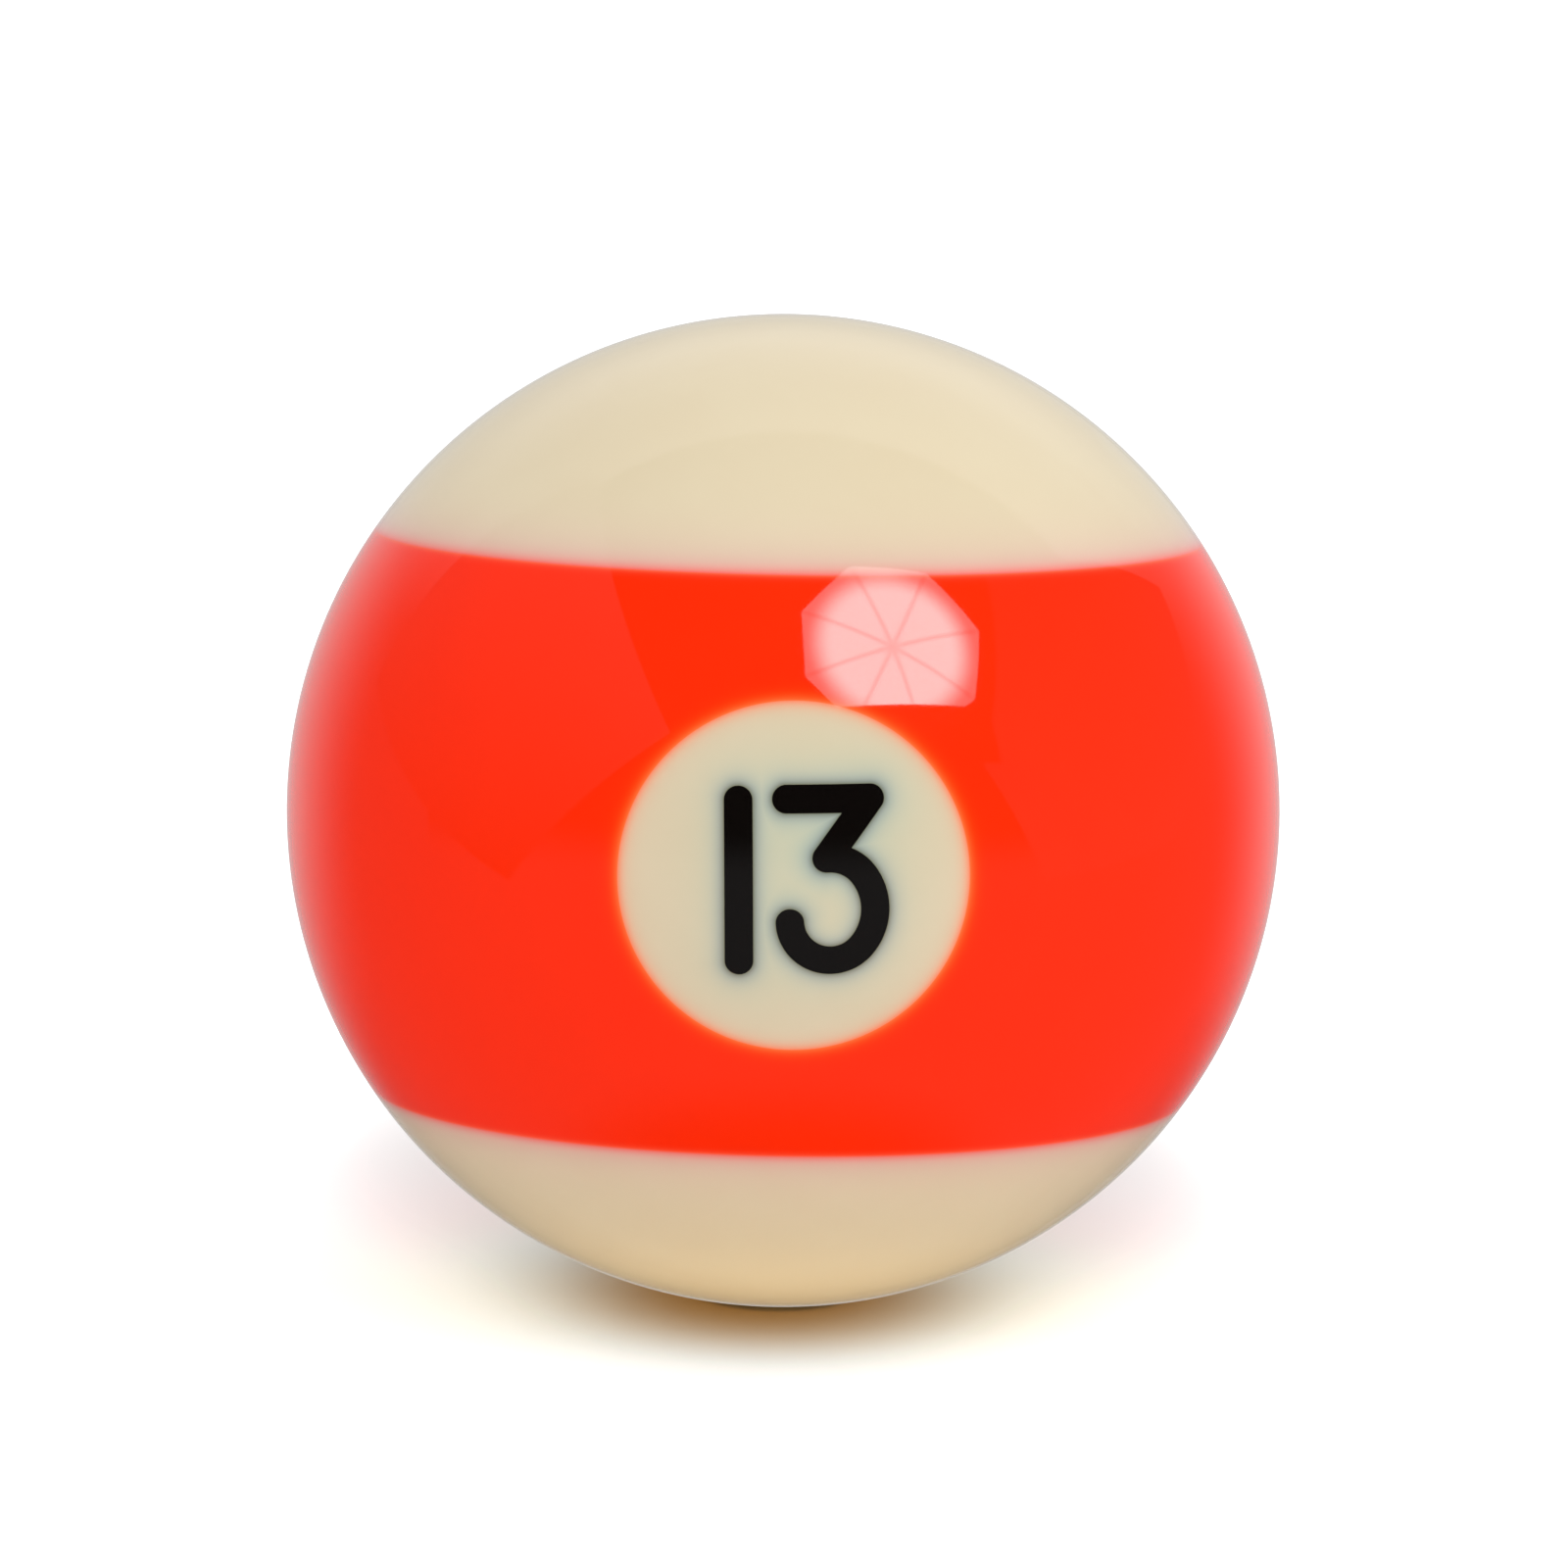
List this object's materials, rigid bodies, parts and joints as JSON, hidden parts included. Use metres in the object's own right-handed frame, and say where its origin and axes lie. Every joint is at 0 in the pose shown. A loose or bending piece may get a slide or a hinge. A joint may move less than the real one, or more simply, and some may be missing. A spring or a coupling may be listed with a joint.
{
  "type": "striped pool ball",
  "caption": "Pool ball cast in bonded resin pieces: ivory domes, a flat-sided orange stripe, and an ivory core whose rounded ends are number discs with inlaid black figures.",
  "frame": {"origin": "centre of the ball", "axes": "+Z is the axis that the stripe runs round, with the domes above and below; the front number disc faces -Y and the back one faces +Y"},
  "size_m": [0.0572, 0.0572, 0.0572],
  "materials": {
    "ivory_resin": "polished",
    "orange_resin": "polished",
    "black_resin": "polished"
  },
  "bodies": {
    "root": {"stripe_band": "orange_resin", "number_core": "ivory_resin", "numeral_one_front": "black_resin", "numeral_three_front": "black_resin", "numeral_one_back": "black_resin", "numeral_three_back": "black_resin", "upper_cap": "ivory_resin", "lower_cap": "ivory_resin"}
  },
  "joints": []
}
